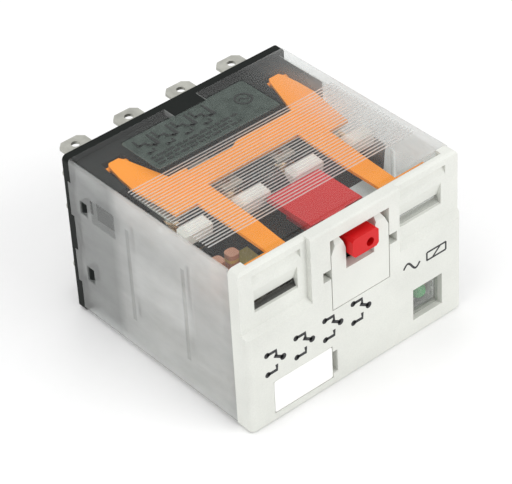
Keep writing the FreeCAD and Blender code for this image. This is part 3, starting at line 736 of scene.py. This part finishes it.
# ---- springs and braids -----------------------------------------------------------------
def twisted_braid(number, x):
    """Flexible copper braid: strands twisted round the route from the terminal tab to the moving spring."""
    route = smooth_path([at(x, 25.6, 18.9), at(x, 24.2, 18.45), at(x, 20.6, 18.3), at(x, 18.9, 18.75),
                         at(x, 18.15, 20.2), at(x, 17.2, 21.8), at(x, 16.3, 22.55)], 60)
    count, lay, spread, thick = 6, 2.4 * MM, 0.24 * MM, 0.14 * MM
    across = Vector((1, 0, 0))
    last = len(route) - 1
    travelled = 0.0
    stations = []
    for i, point in enumerate(route):
        ahead = (route[min(i + 1, last)] - route[max(i - 1, 0)]).normalized()
        if i:
            travelled += (point - route[i - 1]).length
        stations.append((point, ahead.cross(across).normalized(), travelled))
    strands = []
    for k in range(count):
        path = []
        for point, up, distance in stations:
            turn = 2 * math.pi * (k / count + distance / lay)
            path.append(point + (across * math.cos(turn) + up * math.sin(turn)) * spread)
        strands.append(tube_along(path, thick))
    vertices, faces = gather(strands)
    piece = piece_from("copper_braid_%d" % number, vertices, faces, materials["copper"], None, "copper", True)
    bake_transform(piece)
    return piece


def coiled_return_spring():
    """Close-wound extension spring with a hook at each end."""
    low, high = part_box("return_spring")
    turns, steps_per_turn = 24, 16
    hook, margin, wire_radius = 0.9 * MM, 0.05 * MM, 0.12 * MM
    centre_x, centre_z = (low[0] + high[0]) / 2, (low[2] + high[2]) / 2
    radius = (high[0] - low[0]) / 2 - 0.13 * MM
    start, end = low[1] + hook, high[1] - hook
    path = [Vector((centre_x, low[1] + margin, centre_z - radius * 0.3))]
    for i in range(turns * steps_per_turn + 1):
        turn = 2 * math.pi * i / steps_per_turn
        y = start + (end - start) * i / (turns * steps_per_turn)
        path.append(Vector((centre_x + radius * math.sin(turn), y, centre_z + radius * math.cos(turn))))
    path.append(Vector((centre_x, high[1] - margin, centre_z - radius * 0.3)))
    vertices, faces = tube_along(path, wire_radius)
    wire = materials["spring"]
    piece = piece_from("wound_return_spring", vertices, faces, wire, "case", "spring_steel", True)
    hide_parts("return_spring")


# ---- camera, light and floor ------------------------------------------------------------
def studio_camera():
    azimuth, elevation, roll = math.radians(-38.66), math.radians(37.84), math.radians(-3.52)
    distance = 356.4 * MM
    target = at(-1.01, 20.0, 12.20)
    back = Vector((math.sin(azimuth) * math.cos(elevation), -math.cos(azimuth) * math.cos(elevation),
                   math.sin(elevation)))
    level = Vector((math.cos(azimuth), math.sin(azimuth), 0))
    upward = back.cross(level)
    right = level * math.cos(roll) + upward * math.sin(roll)
    up = upward * math.cos(roll) - level * math.sin(roll)
    camera = bpy.data.objects.new("camera", bpy.data.cameras.new("camera"))
    bpy.context.collection.objects.link(camera)
    place = Matrix((right, up, back)).transposed().to_4x4()
    place.translation = target + back * distance
    camera.matrix_world = place
    camera.data.sensor_width = 36
    camera.data.lens = 170.648
    camera.data.clip_start = 0.01
    bpy.context.scene.camera = camera


def soft_light(name, position, size, power):
    light = bpy.data.lights.new(name, "AREA")
    light.shape = "RECTANGLE"
    light.size, light.size_y = size
    light.energy = power
    lamp = bpy.data.objects.new(name, light)
    bpy.context.collection.objects.link(lamp)
    lamp.location = position
    aim = Vector((0, 0, 0.012))
    lamp.rotation_euler = (aim - Vector(position)).to_track_quat("-Z", "Y").to_euler()


def studio():
    world = bpy.data.worlds.new("studio")
    world.use_nodes = True
    background = world.node_tree.nodes["Background"]
    background.inputs["Color"].default_value = (1, 1, 1, 1)
    background.inputs["Strength"].default_value = 0.55
    scene = bpy.context.scene
    scene.world = world
    scene.view_settings.view_transform = "Standard"
    soft_light("front_softbox", (0.20, -0.45, 0.30), (0.40, 0.40), 1.45)
    soft_light("top_softbox", (-0.10, 0.15, 0.60), (0.6, 0.6), 1.6)
    soft_light("back_softbox", (0.34, 0.33, 0.36), (0.30, 0.22), 0.22)
    soft_light("left_softbox", (-0.50, -0.05, 0.22), (0.45, 0.35), 0.8)

    card = moulded_plastic(
        "floor_card", (0.95, 0.95, 0.95), 0.8, grain=1.5 * MM, depth=0.01 * MM, variation=0.01,
    )
    reach, level = 3, -0.05 * MM                        # just under the part
    corners = [Vector((x * reach, y * reach, level)) for x, y in ((-1, -1), (1, -1), (1, 1), (-1, 1))]
    floor = piece_from("floor", corners, [(0, 1, 2, 3)], card, None, "white_plastic")


# ---- build ------------------------------------------------------------------------------
contact_diagram()
coil_mark()
label_patch()
print_on_top("label_print", label_diagram() + label_dashes(), "label_ink", depth=0.12)
flag_window_pieces()
braids = [twisted_braid(number, x) for number, x in enumerate((-15, -5, 5, 15), start=1)]
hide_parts("flexible_braids")
coiled_return_spring()
studio_camera()
studio()
